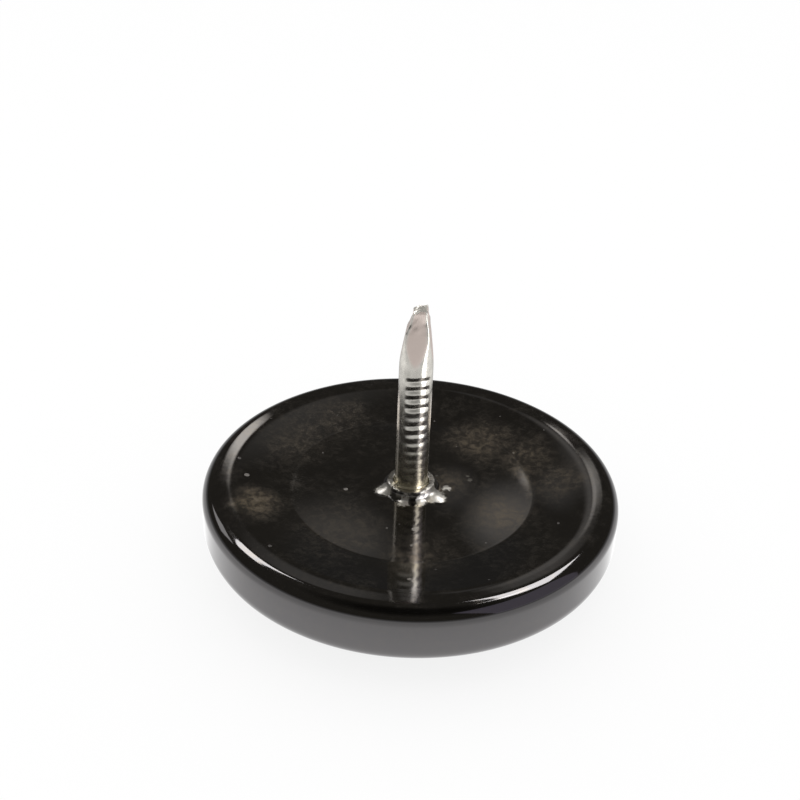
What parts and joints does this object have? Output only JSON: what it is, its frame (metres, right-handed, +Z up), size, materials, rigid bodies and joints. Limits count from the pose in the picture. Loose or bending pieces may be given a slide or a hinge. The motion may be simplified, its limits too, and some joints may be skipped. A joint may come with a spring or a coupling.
{
  "type": "nail on furniture glide",
  "caption": "Round nail on glide for a chair or table leg: a dished steel cup with a rolled rim, a nail standing up through its middle and a felt pad below.",
  "frame": {"origin": "middle of the felt's flat lower face, where the glide stands on the floor", "axes": "+Z up along the nail, towards the furniture leg; the glide is round about Z apart from the nail's die marks and point, which face -Y and +Y"},
  "size_m": [0.0318, 0.0318, 0.0214],
  "materials": {
    "plated_shell": "polished black nickel plate on stamped steel",
    "nail_steel": "bright zinc plated wire, worn at the point",
    "felt": "thick nubby heather grey wool felt"
  },
  "bodies": {
    "root": {"shell": "plated_shell", "nail": "nail_steel", "felt_pad": "felt"}
  },
  "joints": []
}
